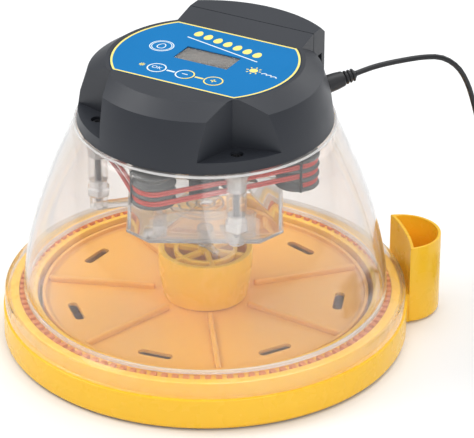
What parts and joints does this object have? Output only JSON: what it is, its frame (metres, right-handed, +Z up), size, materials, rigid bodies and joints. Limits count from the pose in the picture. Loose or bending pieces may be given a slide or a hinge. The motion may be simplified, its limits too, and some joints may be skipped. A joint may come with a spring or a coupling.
{
  "type": "egg incubator",
  "caption": "Round tabletop egg incubator: yellow water tub with side cup, turning egg disc, clear dome, dark control head, power lead.",
  "frame": {"origin": "centre of the flat underside of the base, on the table", "axes": "+Z up along the turning axis; -Y is the front, from where the panel reads upright; +X is the user's right"},
  "size_m": [0.3645, 0.2951, 0.187],
  "materials": {
    "base_yellow": "satin moulded",
    "disc_orange": "satin moulded",
    "clear_plastic": "clear polished",
    "charcoal_casing": "fine texture",
    "panel_blue": "printed film",
    "display_grey": "unlit display",
    "foot_rubber": "matt",
    "bush_nylon": "natural",
    "circuit_board": "solder mask",
    "black_plastic": "moulded",
    "cord_black": "smooth vinyl",
    "heater_grey": "moulded",
    "heater_red": "silicone",
    "screw_steel": "zinc plated"
  },
  "bodies": {
    "base": {"base_tub": "base_yellow", "side_cup": "base_yellow", "pivot_post": "base_yellow", "rubber_foot_1": "foot_rubber", "rubber_foot_2": "foot_rubber", "rubber_foot_3": "foot_rubber", "rubber_foot_4": "foot_rubber", "pivot_bush": "bush_nylon"},
    "turning_disc": {"egg_disc": "disc_orange", "disc_hub": "base_yellow"},
    "dome": {"dome_cover": "clear_plastic", "guard_tray": "clear_plastic", "upper_casing": "charcoal_casing", "lower_casing": "charcoal_casing", "panel_overlay": "panel_blue", "ok_switch": "black_plastic", "minus_switch": "black_plastic", "plus_switch": "black_plastic", "lcd_window": "clear_plastic", "lcd_module": "display_grey", "control_board": "circuit_board", "board_screw_left_front": "screw_steel", "board_screw_left_rear": "screw_steel", "board_screw_right_front": "screw_steel", "board_screw_right_rear": "screw_steel", "clamp_screw_front_right": "screw_steel", "clamp_screw_front_left": "screw_steel", "clamp_screw_rear_right": "screw_steel", "clamp_screw_rear_left": "screw_steel", "turning_gearmotor": "black_plastic", "drive_housing": "black_plastic", "fan_motor": "black_plastic", "heater_former": "heater_grey", "heater_wire": "heater_red", "temperature_probe": "black_plastic", "dc_socket": "black_plastic", "dc_plug": "black_plastic", "cord_run": "cord_black", "cord_coil": "cord_black", "coil_tie": "black_plastic", "cord_tail": "cord_black", "power_adapter": "black_plastic"},
    "turn_drive": {"drive_spindle": "clear_plastic", "drive_fork": "clear_plastic"},
    "fan": {"fan_impeller": "black_plastic"},
    "ok_key": {"ok_key": "panel_blue"},
    "minus_key": {"minus_key": "panel_blue"},
    "plus_key": {"plus_key": "panel_blue"}
  },
  "joints": [
    {"name": "disc_turn", "type": "hinge", "parent": "base", "child": "turning_disc", "pos_m": [0, 0, 0.0056], "axis": [0, 0, 1], "continuous": true},
    {"name": "dome_lift", "type": "slide", "parent": "base", "child": "dome", "axis": [0, 0, 1], "range_m": [0, 0.12]},
    {"name": "drive_turn", "type": "hinge", "parent": "dome", "child": "turn_drive", "pos_m": [0, 0, 0.06], "axis": [0, 0, 1], "continuous": true},
    {"name": "fan_spin", "type": "hinge", "parent": "dome", "child": "fan", "pos_m": [0, 0.027, 0.098], "axis": [0, 0, 1], "continuous": true},
    {"name": "ok_press", "type": "slide", "parent": "dome", "child": "ok_key", "axis": [0, 0, -1], "range_m": [0, 0.0007], "stiffness_N_per_m": 800, "springref_m": -0.0004},
    {"name": "minus_press", "type": "slide", "parent": "dome", "child": "minus_key", "axis": [0, 0, -1], "range_m": [0, 0.0007], "stiffness_N_per_m": 800, "springref_m": -0.0004},
    {"name": "plus_press", "type": "slide", "parent": "dome", "child": "plus_key", "axis": [0, 0, -1], "range_m": [0, 0.0007], "stiffness_N_per_m": 800, "springref_m": -0.0004}
  ],
  "couplings": [
    {"joint": "drive_turn", "follows": "disc_turn", "ratio": 1}
  ]
}
